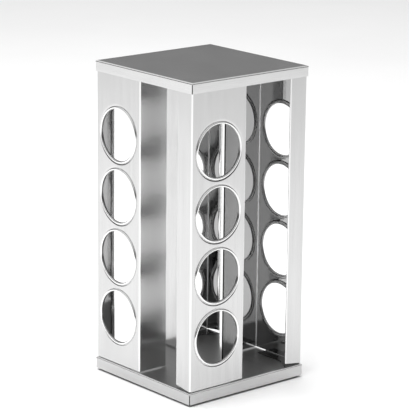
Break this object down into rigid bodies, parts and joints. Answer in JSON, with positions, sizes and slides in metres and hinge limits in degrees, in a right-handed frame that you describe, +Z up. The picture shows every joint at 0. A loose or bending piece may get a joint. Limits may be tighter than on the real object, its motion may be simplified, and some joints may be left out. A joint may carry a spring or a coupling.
{
  "type": "spice carousel",
  "caption": "Square steel tower for spice jars: round jar holes on every side, flat cap and tray, turning on a ball-bearing turntable.",
  "frame": {"origin": "centre of the square footprint, on the surface that the rubber feet stand on", "axes": "+Z up along the turning axis; X and Y square to the faces, with the front corner profile at +X -Y"},
  "size_m": [0.15, 0.15, 0.324],
  "materials": {
    "profile_steel": "vertically brushed outside, bright annealed inside",
    "cap_steel": "brushed along the edges, darker brushed top",
    "tray_steel": "brushed skirts, bright annealed floor",
    "screw_steel": "nickel plated",
    "rivet_steel": "zinc plated",
    "ball_steel": "polished",
    "disc_plastic": "fine moulded texture",
    "cage_plastic": "plain moulded",
    "foot_rubber": "matte"
  },
  "bodies": {
    "turntable_base": {"turntable_lower_disc": "disc_plastic", "pivot_rivet": "rivet_steel", "rubber_foot_front": "foot_rubber", "rubber_foot_right": "foot_rubber", "rubber_foot_back": "foot_rubber", "rubber_foot_left": "foot_rubber"},
    "carousel": {"base_tray": "tray_steel", "top_cap": "cap_steel", "corner_profile_front": "profile_steel", "corner_profile_right": "profile_steel", "corner_profile_back": "profile_steel", "corner_profile_left": "profile_steel", "turntable_upper_disc": "disc_plastic", "pivot_washer": "rivet_steel", "tray_screw_front": "screw_steel", "tray_screw_right": "screw_steel", "tray_screw_back": "screw_steel", "tray_screw_left": "screw_steel"},
    "ball_cage_ring": {"ball_cage": "cage_plastic", "bearing_ball_01": "ball_steel", "bearing_ball_02": "ball_steel", "bearing_ball_03": "ball_steel", "bearing_ball_04": "ball_steel", "bearing_ball_05": "ball_steel", "bearing_ball_06": "ball_steel", "bearing_ball_07": "ball_steel", "bearing_ball_08": "ball_steel", "bearing_ball_09": "ball_steel", "bearing_ball_10": "ball_steel", "bearing_ball_11": "ball_steel", "bearing_ball_12": "ball_steel"}
  },
  "joints": [
    {"name": "carousel_spin", "type": "hinge", "parent": "turntable_base", "child": "carousel", "pos_m": [0, 0, 0.0082], "axis": [0, 0, 1], "continuous": true},
    {"name": "ball_cage_spin", "type": "hinge", "parent": "turntable_base", "child": "ball_cage_ring", "pos_m": [0, 0, 0.0082], "axis": [0, 0, 1], "continuous": true}
  ],
  "couplings": [
    {"joint": "ball_cage_spin", "follows": "carousel_spin", "ratio": 0.5}
  ]
}
